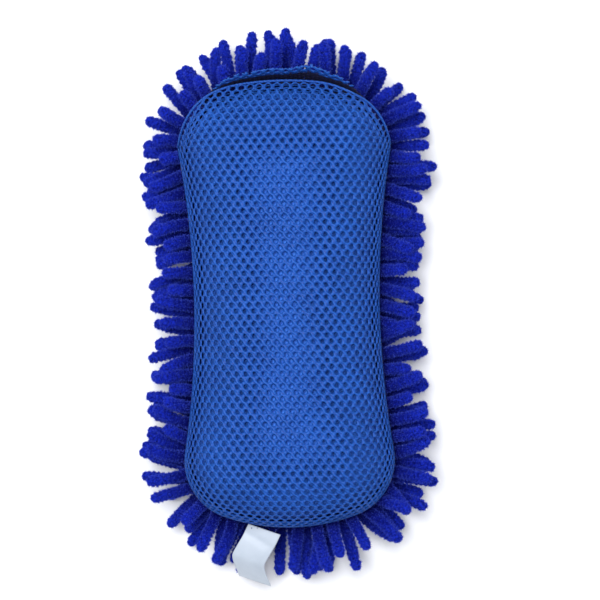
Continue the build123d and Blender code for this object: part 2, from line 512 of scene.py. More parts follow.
# ------------------------------------------------------------------- plan outlines
@dataclass(frozen=True)
class Outline:
    """The figure-8 plan of the mitt: four arcs joined by round corners, in metres."""

    half_length: float = 105.0 * MM
    waist: float = 43.8 * MM
    shoulder_x: float = 53.2 * MM
    shoulder_y: float = 88.0 * MM
    corner: float = 28.0 * MM
    steps: int = 26

    def quadrant(self, grow: float, reach: float) -> np.ndarray:
        """Points from the waist to the middle of the end, for x and y above 0.

        Args:
            grow: How far the outline is grown outwards.
            reach: How much further the end stands out.

        Returns:
            One row of x and y for each point.
        """
        top = self.shoulder_y + reach
        end = self.half_length + reach
        rise = (self.shoulder_x - self.waist) * (top / self.shoulder_y) ** 2
        side_radius = (top**2 + rise**2) / (2 * rise)
        side = np.array([self.waist + side_radius, 0.0])
        drop = end - top
        end_radius = ((self.waist + rise) ** 2 + drop**2) / (2 * drop)
        tip = np.array([0.0, end - end_radius])
        near = side_radius + self.corner
        far = end_radius - self.corner
        gap = tip - side
        apart = float(np.hypot(*gap))
        along = (near**2 - far**2 + apart**2) / (2 * apart)
        up = math.sqrt(near**2 - along**2)
        unit = gap / apart
        round_centre = side + along * unit + up * np.array([unit[1], -unit[0]])
        if round_centre[0] < 0 or round_centre[1] < 0:
            round_centre = side + along * unit - up * np.array([unit[1], -unit[0]])
        side_turn = math.pi - math.atan2(*(round_centre - side)[::-1])
        end_turn = math.atan2(*(round_centre - tip)[::-1])
        turns = np.linspace(0, side_turn, self.steps * 2)
        sides = side + (side_radius - grow) * np.stack([-np.cos(turns), np.sin(turns)], 1)
        turns = np.linspace(-side_turn, end_turn, self.steps)[1:]
        rounds = round_centre + (self.corner + grow) * np.stack(
            [np.cos(turns), np.sin(turns)], 1)
        turns = np.linspace(end_turn, math.pi / 2, self.steps)[1:]
        ends = tip + (end_radius + grow) * np.stack([np.cos(turns), np.sin(turns)], 1)
        return np.concatenate([sides, rounds, ends])

    def loop(self, grow: float = 0.0, reach: float = 0.0, count: int = 720) -> np.ndarray:
        """The whole outline, anticlockwise from the right of the waist.

        Args:
            grow: How far the outline is grown outwards.
            reach: How much further the mouth end stands out.
            count: How many evenly spaced points.

        Returns:
            One row of x and y for each point.
        """
        head = self.quadrant(grow, reach)
        foot = self.quadrant(grow, 0.0)
        flip_x, flip_y = np.array([-1.0, 1.0]), np.array([1.0, -1.0])
        whole = np.concatenate([
            head, (head * flip_x)[::-1][1:], (foot * flip_x * flip_y)[1:],
            (foot * flip_y)[::-1][1:]])
        steps = np.hypot(*np.diff(whole, axis=0).T)
        length = np.concatenate([[0], np.cumsum(steps)])
        wanted = np.linspace(0, length[-1], count, endpoint=False)
        return np.stack([np.interp(wanted, length, whole[:, i]) for i in (0, 1)], 1)


def outward(loop: np.ndarray) -> np.ndarray:
    """Unit normals of a closed anticlockwise loop of points, pointing outwards."""
    ahead = np.roll(loop, -1, 0) - np.roll(loop, 1, 0)
    normal = np.stack([ahead[:, 1], -ahead[:, 0]], 1)
    return normal / np.hypot(*normal.T)[:, None]


@dataclass(frozen=True)
class Cover:
    """A cloth laid over the block and rolled down its edge, described in flat cloth space.

    A flat point inside the level part stays where it is. One beyond it goes on along
    the roll and then straight down the wall, for as far as it lay from the level part.
    """

    level_z: float
    edge_z: float
    roll: float
    grow: float = 0.0
    reach: float = 0.0
    crown: float = 0.0
    crown_width: float = 16 * MM
    upwards: float = 1.0
    plan: Outline = field(default_factory=Outline)

    @property
    def skirt(self) -> float:
        """Length of cloth from the end of the level part to the cloth's edge."""
        wall = abs(self.level_z - self.edge_z) - self.roll
        return self.roll * math.pi / 2 + wall

    def level_part(self) -> np.ndarray:
        """The outline of the level part."""
        return self.plan.loop(self.grow - self.roll, self.reach, 1440)

    def flat_edge(self, count: int = 720) -> np.ndarray:
        """The outline of the whole flat cloth."""
        return self.plan.loop(self.grow - self.roll + self.skirt, self.reach, count)

    def lay(self, flat: np.ndarray) -> np.ndarray:
        """Lay flat points over the block.

        Args:
            flat: One row of x and y for each point of the flat cloth.

        Returns:
            One row of x, y and z for each point.
        """
        loop = self.level_part()
        normals = outward(loop)
        places = np.zeros((len(flat), 3))
        for i, point in enumerate(flat):
            away = point - loop
            nearest = int(np.argmin((away**2).sum(1)))
            offset = away[nearest]
            distance = float(np.hypot(*offset))
            inside = float(offset @ normals[nearest]) < 0
            if inside or distance < 1e-9:
                fall = 1 - math.exp(-((distance / self.crown_width) ** 2))
                places[i] = (*point, self.level_z + self.upwards * self.crown * fall)
                continue
            way = offset / distance
            turn = min(distance / self.roll, math.pi / 2)
            wall = max(0.0, distance - self.roll * math.pi / 2)
            plan = loop[nearest] + way * self.roll * math.sin(turn)
            drop = self.roll * (1 - math.cos(turn)) + wall
            places[i] = (*plan, self.level_z - self.upwards * drop)
        return places

    def grid(self, name: str, spacing: float) -> bpy.types.Object:
        """Make the laid cloth as an even grid, with its flat place as its UV map.

        Args:
            name: The object's name.
            spacing: Size of a grid square.

        Returns:
            A mesh object whose vertex group "edge" holds its border.
        """
        edge = self.flat_edge()
        low, high = edge.min(0), edge.max(0)
        counts = [int(n) for n in np.ceil((high - low) / spacing)]
        xs = np.linspace(low[0], high[0], counts[0] + 1)
        ys = np.linspace(low[1], high[1], counts[1] + 1)
        points = np.array([(x, y) for y in ys for x in xs])
        normals = outward(edge)
        away = points[:, None, :] - edge[None, :, :]
        nearest = (away**2).sum(2).argmin(1)
        offset = points - edge[nearest]
        outside = (offset * normals[nearest]).sum(1) > 0
        distance = np.hypot(*offset.T)
        wide = counts[0] + 1
        keep = ~outside | (distance < spacing * 0.5)
        points[outside & keep] = edge[nearest[outside & keep]]
        numbers = -np.ones(len(points), int)
        numbers[keep] = np.arange(int(keep.sum()))
        faces = []
        for row in range(counts[1]):
            for column in range(counts[0]):
                corner = row * wide + column
                square = [corner, corner + 1, corner + 1 + wide, corner + wide]
                held = [int(numbers[k]) for k in square if keep[k]]
                if len(held) >= 3:
                    faces.append(held)
        flat = points[keep]
        cloth = mesh_object(name, self.lay(flat), faces)
        uv = cloth.data.uv_layers.new(name="flat")
        for loop in cloth.data.loops:
            uv.data[loop.index].uv = flat[loop.vertex_index] / FLAT_SPAN + 0.5
        border = cloth.vertex_groups.new(name="edge")
        border.add(rim_vertices(cloth.data), 1.0, "REPLACE")
        return smooth(cloth)


def rim_vertices(mesh: bpy.types.Mesh) -> list[int]:
    """The numbers of the vertices on the mesh's open border."""
    uses = {}
    for polygon in mesh.polygons:
        for key in polygon.edge_keys:
            uses[key] = uses.get(key, 0) + 1
    return sorted({v for key, times in uses.items() if times == 1 for v in key})


def inflate(cloth: bpy.types.Object, pressure: float, frames: int, cap: float) -> None:
    """Let cloth simulation fill out a pinned cloth, and keep the result in its mesh.

    Args:
        cloth: A grid whose vertex group "edge" holds its border.
        pressure: Air pressure under the cloth.
        frames: How many frames the simulation runs.
        cap: The furthest that a point may move.
    """
    scene = bpy.context.scene
    rest = np.array([v.co for v in cloth.data.vertices])
    modifier = cloth.modifiers.new("fill_out", "CLOTH")
    settings = modifier.settings
    settings.vertex_group_mass = "edge"
    for name, value in (("quality", 6), ("mass", 0.2), ("tension_stiffness", 25),
                        ("compression_stiffness", 10), ("bending_stiffness", 4)):
        setattr(settings, name, value)
    settings.use_pressure = True
    settings.uniform_pressure_force = pressure
    settings.effector_weights.gravity = 0.0
    modifier.point_cache.frame_start = 1
    modifier.point_cache.frame_end = frames
    for number in range(1, frames + 1):
        scene.frame_set(number)
    evaluated = cloth.evaluated_get(bpy.context.evaluated_depsgraph_get())
    moved = np.array([v.co for v in evaluated.data.vertices])
    cloth.modifiers.remove(modifier)
    scene.frame_set(1)
    shift = moved - rest
    far = np.linalg.norm(shift, axis=1, keepdims=True)
    shift *= np.minimum(1.0, cap / np.maximum(far, 1e-12))
    for vertex, place in zip(cloth.data.vertices, rest + shift):
        vertex.co = place
    cloth.data.update()


# ------------------------------------------------------------- perforated knit net
@dataclass(frozen=True)
class Net:
    """A knit net: staggered rows of holes cut out of cells that fit edge to edge.

    Where the cloth rolls over the edge, between the two distances of opens_x or of
    opens_y from its middle, the holes open up to side_open times wider.
    """

    pitch: float = 4.2 * MM
    row: float = 2.9 * MM
    hole_width: float = 0.45
    hole_height: float = 0.64
    side_open: float = 1.42
    ridge: float = 0.28 * MM
    thick: float = 0.42 * MM
    sides: int = 12
    bolt_wide: float = 186.0 * MM
    bolt_long: float = 300.0 * MM
    opens_x: tuple[float, float] = (24 * MM, 46 * MM)
    opens_y: tuple[float, float] = (80 * MM, 102 * MM)

    def cell(self) -> bpy.types.Object:
        """One cell: a hexagonal rim with its crest up, round a lower oval hole."""
        shoulder = self.row / 3
        tip = self.row * 2 / 3
        half = self.pitch / 2
        corners = [(half, -shoulder), (half, shoulder), (0, tip), (-half, shoulder),
                   (-half, -shoulder), (0, -tip)]
        rim = []
        for number, corner in enumerate(corners):
            rim.append(corner)
            if self.sides == 12:
                after = corners[(number + 1) % 6]
                rim.append(((corner[0] + after[0]) / 2, (corner[1] + after[1]) / 2))
        count = len(rim)
        verts = [(x, y, self.ridge) for x, y in rim]
        for x, y in rim:
            turn = math.atan2(y / tip, x / half)
            verts.append((half * self.hole_width * math.cos(turn),
                          tip * self.hole_height * math.sin(turn), 0.0))
        faces = [(i, (i + 1) % count, count + (i + 1) % count, count + i)
                 for i in range(count)]
        return mesh_object("net_cell", np.array(verts), faces)

    def tree(self) -> bpy.types.GeometryNodeTree:
        """The node tree that tiles the cell in flat cloth space and lays it on a cloth."""
        tree, given = new_tree("net_on_cloth", {
            "Cloth": "Object", "Cell": "Object", "Pitch": "Float", "Row": "Float",
            "Width": "Float", "Length": "Float", "Ridge": "Float", "Side Open": "Float",
            "Material": "Material"}, "Net")
        node = partial(add_node, tree)
        counts = [node(MATH, "CEIL", [node(MATH, "DIVIDE", [given[size], given[step]])])
                  for size, step in (("Width", "Pitch"), ("Length", "Row"))]
        total = node(MATH, "MULTIPLY", counts)
        points = node("GeometryNodePoints", inputs={"Count": total})
        index = node("GeometryNodeInputIndex")
        column = node(MATH, "MODULO", [index, counts[0]])
        line = node(MATH, "FLOOR", [node(MATH, "DIVIDE", [index, counts[0]])])
        odd = node(MATH, "MODULO", [line, 2.0])
        shifted = node(MATH, "MULTIPLY_ADD", [odd, 0.5, column])
        middle = {}
        for axis, number, step, size in (("X", shifted, "Pitch", "Width"),
                                         ("Y", line, "Row", "Length")):
            place = node(MATH, "MULTIPLY", [number, given[step]])
            half = node(MATH, "MULTIPLY", [given[size], 0.5])
            middle[axis] = node(MATH, "SUBTRACT", [place, half])
        spot = node("ShaderNodeCombineXYZ", inputs=middle)
        tiles = node("GeometryNodeSetPosition", inputs={"Geometry": points, "Position": spot})
        marked = node(STORE, {"data_type": "FLOAT_VECTOR", "domain": "POINT"}, {
            "Geometry": tiles, "Name": "middle", "Value": spot})
        cell = node("GeometryNodeObjectInfo", inputs={"Object": given["Cell"]})
        instances = node("GeometryNodeInstanceOnPoints", inputs={
            "Points": marked, "Instance": cell.outputs["Geometry"]})
        real = node("GeometryNodeRealizeInstances", inputs=[instances])
        cells = node("GeometryNodeMergeByDistance", inputs={
            "Geometry": real, "Distance": 0.05 * MM})
        opened = self.open_sides(node, cells, given)
        # the flat place and the height above it, carried to where the cloth lies
        flat = node("GeometryNodeInputPosition")
        uv = node(VECTOR_MATH, "MULTIPLY_ADD", [
            flat, (1 / FLAT_SPAN, 1 / FLAT_SPAN, 0.0), (0.5, 0.5, 0.0)])
        cloth = node("GeometryNodeObjectInfo", inputs={
            "Object": given["Cloth"]}).outputs["Geometry"]
        known = node(NAMED, {"data_type": "FLOAT_VECTOR"}, {"Name": "flat"})
        landed, normal = [
            node("GeometryNodeSampleUVSurface", {"data_type": "FLOAT_VECTOR"}, {
                "Mesh": cloth, "Value": node(kind), "Source UV Map": known, "Sample UV": uv})
            for kind in ("GeometryNodeInputPosition", "GeometryNodeInputNormal")]
        missing = node("FunctionNodeBooleanMath", "NOT", [landed.outputs["Is Valid"]])
        height = node("ShaderNodeSeparateXYZ", inputs=[flat]).outputs["Z"]
        lift = node(VECTOR_MATH, "SCALE", {0: normal, "Scale": height})
        final = node(VECTOR_MATH, "ADD", [landed, lift])
        stored = node(STORE, {"data_type": "BOOLEAN", "domain": "POINT"}, {
            "Geometry": opened, "Name": "off_cloth", "Value": missing})
        laid = node("GeometryNodeSetPosition", inputs={"Geometry": stored, "Position": final})
        off = node(NAMED, {"data_type": "BOOLEAN"}, {"Name": "off_cloth"})
        kept = node("GeometryNodeDeleteGeometry", {"domain": "POINT"}, {
            "Geometry": laid, "Selection": off})
        soft = node("GeometryNodeSetShadeSmooth", inputs={"Geometry": kept})
        return end_tree(tree, soft, given["Material"])

    def open_sides(self, node: Callable, cells: bpy.types.Node,
                   given: bpy.types.NodeOutputs) -> bpy.types.Node:
        """Add the nodes that open the holes wider where the cloth rolls over the edge.

        Args:
            node: Adds a node to the net's tree.
            cells: The flat cells.
            given: The tree's own inputs.

        Returns:
            The cells with their holes opened.
        """
        here = node("GeometryNodeInputPosition")
        middle = node(NAMED, {"data_type": "FLOAT_VECTOR"}, {"Name": "middle"})
        parts = node("ShaderNodeSeparateXYZ", inputs=[middle]).outputs
        rolls = [
            node("ShaderNodeMapRange", inputs={
                "Value": node(MATH, "ABSOLUTE", [parts[axis]]), "From Min": start,
                "From Max": stop})
            for axis, (start, stop) in (("X", self.opens_x), ("Y", self.opens_y))]
        wider = node("ShaderNodeMapRange", inputs={
            "Value": node(MATH, "MAXIMUM", rolls), "To Min": 1.0,
            "To Max": given["Side Open"]})
        height = node("ShaderNodeSeparateXYZ", inputs=[here]).outputs["Z"]
        crest = node(MATH, "DIVIDE", [height, given["Ridge"]])
        factor = node("ShaderNodeMix", {"data_type": "FLOAT"}, {
            "Factor": crest, 2: wider, 3: 1.0})
        away = node(VECTOR_MATH, "SUBTRACT", [here, middle])
        wide = node(VECTOR_MATH, "SCALE", {0: away, "Scale": factor})
        return node("GeometryNodeSetPosition", inputs={
            "Geometry": cells, "Position": node(VECTOR_MATH, "ADD", [middle, wide])})

    def on(self, cloth: bpy.types.Object, name: str, material: bpy.types.Material,
           inside: Callable[[float, float], bool] | None = None) -> bpy.types.Object:
        """Knit the net over a cloth's flat shape and lay it where the cloth lies.

        Args:
            cloth: The laid cloth, with its flat place as its UV map. It is removed.
            name: The net's name.
            material: The net's material.
            inside: Says whether a place in plan is on the trimmed cloth.

        Returns:
            The net as a plain mesh with its own thickness.
        """
        cell = self.cell()
        net = grown(mesh_object("net", np.zeros((0, 3)), []), self.tree(), {
            "Cloth": cloth, "Cell": cell, "Pitch": self.pitch, "Row": self.row,
            "Width": self.bolt_wide, "Length": self.bolt_long, "Ridge": self.ridge,
            "Side Open": self.side_open, "Material": material}, name)
        if inside:
            with edited(net.data) as shape:
                past = [v for v in shape.verts if not inside(v.co.x, v.co.y)]
                bmesh.ops.delete(shape, geom=past, context="VERTS")
        thickness = net.modifiers.new("thickness", "SOLIDIFY")
        thickness.thickness = self.thick
        thickness.offset = 0.0
        made = baked(net, name)
        bpy.data.objects.remove(cell)
        bpy.data.objects.remove(cloth)
        for working in ("off_cloth", "flat", "middle"):
            if working in made.data.attributes:
                made.data.attributes.remove(made.data.attributes[working])
        return made


# ---------------------------------------------------------------- chenille fingers
@dataclass(frozen=True)
class RimRow:
    """How the fingers of one level of the rim set off, and how long they are."""

    name: str
    lift: float
    stretch: tuple[float, float]
    inward: float = 1.5 * MM
    pile: float = 1.0


class Level(Enum):
    """The rows of fingers round the rim, from the net down to the palm."""

    UPPER = RimRow("upper", 0.62, (0.62, 1.06))
    MIDDLE = RimRow("middle", 0.16, (0.86, 1.14))
    LOWER = RimRow("lower", -0.16, (0.92, 1.12), 4.0 * MM, 0.6)


SIDES = ("left", "right", "mouth", "toe")


@dataclass(frozen=True)
class FingerShape:
    """The shape that every finger shares."""

    radius: float = 2.55 * MM
    reach: float = 21.5 * MM
    end_extra: float = 7.5 * MM
    root: float = 3.0 * MM
    rib: float = 2.3 * MM
    rib_depth: float = 0.3 * MM
    lump: float = 1.5 * MM
    lump_wide: float = 2.2 * MM
    around: int = 14
    along: int = 40
    fibres: float = 1.5e6
    fibre_long: float = 0.95 * MM
    fibre_wide: float = 0.24 * MM
    fibre_root: float = 0.1 * MM
    fibre_lean: tuple[float, float, float] = (0.7, 0.7, 3.1)
    floor_gap: float = 3.9 * MM
    tip_long: float = 1.35

    @property
    def long(self) -> float:
        """A finger's usual length, root and all."""
        return self.reach + self.root


@dataclass
class Chenille:
    """All chenille fingers: the rim's rows, level by level and side by side, and the palm's."""

    finishes: Finishes
    shape: FingerShape = field(default_factory=FingerShape)
    plan: Outline = field(default_factory=Outline)
    seed: int = 7
    rim_count: int = 70
    side_end: float = 68.0 * MM
    wander: float = 0.15
    drift: float = 2.6
    drift_wide: float = 18.0 * MM
    most_swing: float = 0.6
    spread: float = 0.2
    swerve: float = 0.25
    droop: float = 0.5
    cad_yarn: float = 3.1 * MM
    end_from: float = 80.0 * MM
    end_wide: float = 40.0 * MM
    corner_from: float = -8.0 * MM
    corner_lift: float = 0.4
    label_gap: float = 12.0 * MM
    label_press: float = 22.0 * MM
    pressed_lift: float = -0.04
    palm_seed: int = 57
    palm_rows: int = 9
    palm_pitch: float = 9.0 * MM
    palm_root: float = 14.0 * MM
    palm_lean: tuple[float, float] = (0.25, 0.62)
    palm_pile: float = 0.3
    pile_tree: bpy.types.GeometryNodeTree | None = None

    def tree(self) -> bpy.types.GeometryNodeTree:
        """The node tree that turns centrelines into round-ended, fuzzy fingers."""
        tree, given = new_tree("chenille_fingers", {
            "Lines": "Geometry", "Radius": "Float", "Lump": "Float", "Rib Depth": "Float",
            "Ribs": "Float", "Fibres": "Float", "Fibre": "Object", "Seed": "Int",
            "Material": "Material"}, "Fingers")
        node = partial(add_node, tree)
        curves = node("GeometryNodeMeshToCurve", inputs={"Mesh": given["Lines"]})
        fine = node("GeometryNodeResampleCurve", inputs={
            "Curve": curves, "Count": self.shape.along})
        share = node("GeometryNodeSplineParameter").outputs["Factor"]
        # a finger is straight sided up to its tip, which is a half round
        round_from = 1 - self.shape.tip_long * self.shape.radius / self.shape.long
        past = node("ShaderNodeMapRange", inputs={
            "Value": share, "From Min": round_from, "From Max": 1.0})
        squared = node(MATH, "POWER", [past, 2.0])
        taper = node(MATH, "SQRT", [node(MATH, "SUBTRACT", [1.002, squared])])
        ribs = node(MATH, "SINE", [node(MATH, "MULTIPLY", [share, given["Ribs"]])])
        ribbed = node(MATH, "MULTIPLY_ADD", [ribs, given["Rib Depth"], given["Radius"]])
        width = node(MATH, "MULTIPLY", [ribbed, taper])
        # the share along each finger; the pile's material reads it to paint shade towards the
        # root
        marked = node(STORE, {"data_type": "FLOAT", "domain": "POINT"}, {
            "Geometry": fine, "Name": "along", "Value": share})
        sized = node("GeometryNodeSetCurveRadius", inputs={"Curve": marked, "Radius": width})
        ring = node("GeometryNodeCurvePrimitiveCircle", inputs={
            "Resolution": self.shape.around, "Radius": 1.0})
        rod = node("GeometryNodeCurveToMesh", inputs={
            "Curve": sized, "Profile Curve": ring, "Fill Caps": True})
        if "Scale" in rod.inputs:
            tree.links.new(width.outputs[0], rod.inputs["Scale"])
        lumps = node("ShaderNodeTexNoise", {"noise_dimensions": "3D"}, {
            "Scale": 1 / self.shape.lump_wide, "Detail": 2.0})
        level = node(MATH, "SUBTRACT", [lumps, 0.5])
        height = node(MATH, "MULTIPLY", [level, given["Lump"]])
        push = node(VECTOR_MATH, "SCALE", {0: node("GeometryNodeInputNormal"), "Scale": height})
        lumpy = node("GeometryNodeSetPosition", inputs={"Geometry": rod, "Offset": push})
        soft = node("GeometryNodeSetShadeSmooth", inputs={"Geometry": lumpy})
        spots = node("GeometryNodeDistributePointsOnFaces", inputs={
            "Mesh": soft, "Density": given["Fibres"], "Seed": given["Seed"]})
        lean = np.array(self.shape.fibre_lean)
        turned = node("FunctionNodeRandomValue", {"data_type": "FLOAT_VECTOR"}, {
            0: tuple(-lean), 1: tuple(lean), "Seed": given["Seed"]})
        upright = node("FunctionNodeAlignRotationToVector", {"axis": "Z"}, {
            "Vector": spots.outputs["Normal"]})
        leaning = node("FunctionNodeRotateRotation", {"rotation_space": "LOCAL"}, {
            "Rotation": upright, "Rotate By": turned})
        blade = node("GeometryNodeObjectInfo", inputs={"Object": given["Fibre"]})
        fuzz = node("GeometryNodeInstanceOnPoints", inputs={
            "Points": spots, "Instance": blade.outputs["Geometry"], "Rotation": leaning})
        both = node("GeometryNodeJoinGeometry", inputs=[fuzz])
        tree.links.new(soft.outputs[0], both.inputs[0])
        return end_tree(tree, both, given["Material"])

    def fibre(self) -> bpy.types.Object:
        """One closed three-sided spike of pile, which knows how near its tip it is."""
        half = self.shape.fibre_wide / 2
        verts = [(half * math.cos(a), half * math.sin(a), -self.shape.fibre_root)
                 for a in (0.0, math.tau / 3, 2 * math.tau / 3)]
        verts.append((0.0, 0.0, self.shape.fibre_long))
        blade = mesh_object("pile_fibre", np.array(verts),
                            [(0, 2, 1), (0, 1, 3), (1, 2, 3), (2, 0, 3)])
        # the pile's material reads this to paint a highlight on each fibre's tip
        tip = blade.data.attributes.new("tip", "FLOAT", "POINT")
        tip.data.foreach_set("value", [0.0, 0.0, 0.0, 1.0])
        return blade

    def line(self, root: np.ndarray, way: np.ndarray, length: float, sag: float,
             swerve: float, steps: int = 7) -> np.ndarray:
        """The centreline of one finger, which sets off straight and then bends.

        Args:
            root: Where the finger starts, inside the cloth.
            way: Unit vector that it sets off along.
            length: Its length.
            sag: How far it turns down by its tip, in radians.
            swerve: How far it turns sideways by its tip, in radians.
            steps: How many straight bits.

        Returns:
            One row of x, y and z for each point.
        """
        points = [root]
        turned = math.atan2(way[1], way[0])
        rise = math.asin(max(-1.0, min(1.0, way[2])))
        for step in range(steps):
            share = (step + 0.5) / steps
            level = rise - sag * share**1.5
            heading = turned + swerve * share**1.5
            ahead = np.array([math.cos(level) * math.cos(heading),
                              math.cos(level) * math.sin(heading), math.sin(level)])
            points.append(points[-1] + ahead * length / steps)
            points[-1][2] = max(points[-1][2], self.shape.floor_gap)
        return np.array(points)

    def grow_row(self, name: str, lines: list[np.ndarray], pile: float, node: str) -> None:
        """Turn centrelines into one row of fingers, which stands for a CAD row.

        Args:
            name: The piece's name.
            lines: The fingers' centrelines.
            pile: How thick the pile is, as a share of the full pile.
            node: The CAD row's name.
        """
        verts, edges, first = [], [], 0
        for line in lines:
            verts.extend(line)
            edges += [(first + i, first + i + 1) for i in range(len(line) - 1)]
            first += len(line)
        source = mesh_object(f"{name}_lines", np.array(verts), [], edges)
        if self.pile_tree is None:
            self.pile_tree = self.tree()
        blade = self.fibre()
        row = grown(source, self.pile_tree, {
            "Radius": self.shape.radius, "Lump": self.shape.lump,
            "Rib Depth": self.shape.rib_depth,
            "Ribs": 2 * math.pi * self.shape.long / self.shape.rib,
            "Fibres": self.shape.fibres * pile, "Fibre": blade, "Seed": self.seed,
            "Material": self.finishes.pile}, name)
        bpy.data.objects.remove(blade)
        stand_in(dress(row, self.finishes.pile), node)
        LOG.info("%s: %d fingers, %d faces", name, len(lines), len(row.data.polygons))

    def side_of(self, point: np.ndarray) -> str:
        """The side of the mitt that a point of its outline belongs to."""
        if point[1] > self.side_end:
            return "mouth"
        if point[1] < -self.side_end:
            return "toe"
        return "right" if point[0] > 0 else "left"

    def rim(self, level: Level) -> dict[str, list[np.ndarray]]:
        """The centrelines of one level of the rim, sorted by side."""
        rng = np.random.default_rng(self.seed + list(Level).index(level))
        row = level.value
        low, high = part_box(f"rim_row_left_{row.name}")
        yarn_z = high.z - self.cad_yarn if level is Level.LOWER else low.z + self.cad_yarn
        height = round(yarn_z, 4)
        low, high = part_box("care_label")
        label_x = (low.x + high.x) / 2
        loop = self.plan.loop(0.0, 0.0, self.rim_count * 2)
        normals = outward(loop)
        sorted_lines = {side: [] for side in SIDES}
        for number in range(int(level is Level.MIDDLE), self.rim_count * 2, 2):
            place, normal = loop[number], normals[number]
            side = self.side_of(place)
            from_label = abs(place[0] - label_x) if side == "toe" else math.inf
            if level is Level.UPPER and from_label < self.label_gap:
                continue
            drift = noise.noise(Vector((place[0], place[1], height)) / self.drift_wide)
            swing = self.wander * (rng.normal() + self.drift * drift)
            lift = row.lift + rng.normal() * self.spread
            at_end = max(0.0, 1 - (place[0] / self.end_wide) ** 2)
            at_end *= abs(place[1]) > self.end_from
            if side == "mouth" and level is Level.UPPER and place[0] < self.corner_from:
                lift += self.corner_lift
            heading = math.atan2(normal[1], normal[0])
            heading += float(np.clip(swing, -self.most_swing, self.most_swing))
            if from_label < self.label_press:
                lift = min(lift, self.pressed_lift)
            way = np.array([math.cos(heading) * math.cos(lift),
                            math.sin(heading) * math.cos(lift), math.sin(lift)])
            root = np.array([*(place - normal * row.inward), height])
            length = self.shape.reach * rng.uniform(*row.stretch) + row.inward
            length += self.shape.end_extra * at_end
            sag = self.droop * rng.uniform(0.2, 1.4)
            sorted_lines[side].append(self.line(root, way, length, sag,
                                                rng.normal() * self.swerve))
        return sorted_lines

    def palm(self, rng: np.random.Generator, row: int) -> list[np.ndarray]:
        """The centrelines of one of the palm's rows, each leaning its own way."""
        low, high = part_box(f"palm_row_{row}")
        count = round((high.y - low.y - 2 * self.shape.radius) / self.palm_pitch) + 1
        first = (low.y + high.y) / 2 - (count - 1) * self.palm_pitch / 2
        lines = []
        for number in range(count):
            lean = rng.uniform(*self.palm_lean)
            way_round = rng.uniform(0, 2 * math.pi)
            down = -math.cos(lean)
            way = np.array([math.sin(lean) * math.cos(way_round),
                            math.sin(lean) * math.sin(way_round), down])
            root = np.array([(low.x + high.x) / 2, first + number * self.palm_pitch,
                             self.palm_root])
            length = (root[2] - self.shape.radius * 0.95) / -down
            lines.append(self.line(root, way, length, 0.0, 0.0, 5))
        return lines

    def build(self) -> None:
        """Build every row, and let each stand for its CAD row."""
        for level in Level:
            row = level.value
            for side, lines in self.rim(level).items():
                self.grow_row(f"chenille_{side}_{row.name}", lines, row.pile,
                              f"rim_row_{side}_{row.name}")
        rng = np.random.default_rng(self.palm_seed)
        palm = {row: self.palm(rng, row) for row in range(1, self.palm_rows + 1)}
        for row, lines in palm.items():
            self.grow_row(f"chenille_palm_{row}", lines, self.palm_pile, f"palm_row_{row}")


# ----------------------------------------------------------------- foam and cloths
@dataclass
class FoamCore:
    """The figure-8 sponge block, softened at its edges by the covers round it."""

    finishes: Finishes
    voxel: float = 4.0 * MM
    shrink: float = 1.0 * MM
    swell: float = 0.9 * MM
    crown: float = 7.6 * MM
    crown_width: float = 12.0 * MM
    crown_roll: float = 17.0 * MM
    crown_inset: float = -2.4 * MM

    def remeshed(self) -> bpy.types.Object:
        """A copy of the CAD block with its loose triangles merged and remeshed evenly."""
        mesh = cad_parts["foam_core"].data.copy()
        with edited(mesh) as shape:
            bmesh.ops.remove_doubles(shape, verts=shape.verts, dist=0.01 * MM)
            bmesh.ops.recalc_face_normals(shape, faces=shape.faces)
        copy = linked("foam_core_copy", mesh)
        remesh = copy.modifiers.new("even", "REMESH")
        remesh.mode = "VOXEL"
        remesh.voxel_size = self.voxel
        return baked(copy, "foam_core_block")

    def raise_crown(self, core: bpy.types.Object) -> None:
        """Let the block's top stand proud in its middle, as pressed foam does."""
        low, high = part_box("foam_core")
        cover = Cover(0.0, -30 * MM, self.crown_roll, self.crown_inset, crown=self.crown,
                      crown_width=self.crown_width)
        heights = cover.lay(np.array([v.co[:2] for v in core.data.vertices]))[:, 2]
        middle = (low.z + high.z) / 2
        for vertex, height in zip(core.data.vertices, heights):
            share = min(1.0, max(0.0, (vertex.co.z - middle) / (high.z - 2 * MM - middle)))
            vertex.co.z += max(0.0, float(height)) * share**2

    def build(self) -> None:
        """Build the block as one closed padded mesh."""
        core = self.remeshed()
        for vertex in core.data.vertices:
            vertex.co -= vertex.normal * self.shrink
        inflate(core, pressure=4.0, frames=12, cap=self.swell)
        self.raise_crown(core)
        round_off = core.modifiers.new("round_off", "SUBSURF")
        round_off.levels = round_off.render_levels = 1
        core = dress(smooth(baked(core, "foam_core_block")), self.finishes.foam)
        stand_in(core, "foam_core")
        LOG.info("foam core: %d faces", len(core.data.polygons))


@dataclass
class GroundCloth:
    """The knitted ground cloth that wraps the bottom and the sides of the foam."""

    finishes: Finishes
    spacing: float = 3.0 * MM
    thick: float = 1.2 * MM
    roll: float = 8.4 * MM
    inset: float = -0.7 * MM

    def build(self) -> None:
        """Build the cloth as a stretched sheet."""
        low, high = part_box("chenille_backing")
        cover = Cover(low.z - self.inset, high.z, self.roll, self.inset, upwards=-1.0)
        cloth = cover.grid("ground_cloth", self.spacing)
        body = cloth.modifiers.new("thickness", "SOLIDIFY")
        body.thickness = self.thick
        body.offset = 0.0
        cloth = point_outwards(smooth(baked(cloth, "ground_cloth")))
        stand_in(dress(cloth, self.finishes.ground), "chenille_backing")
        edge = cover.flat_edge()


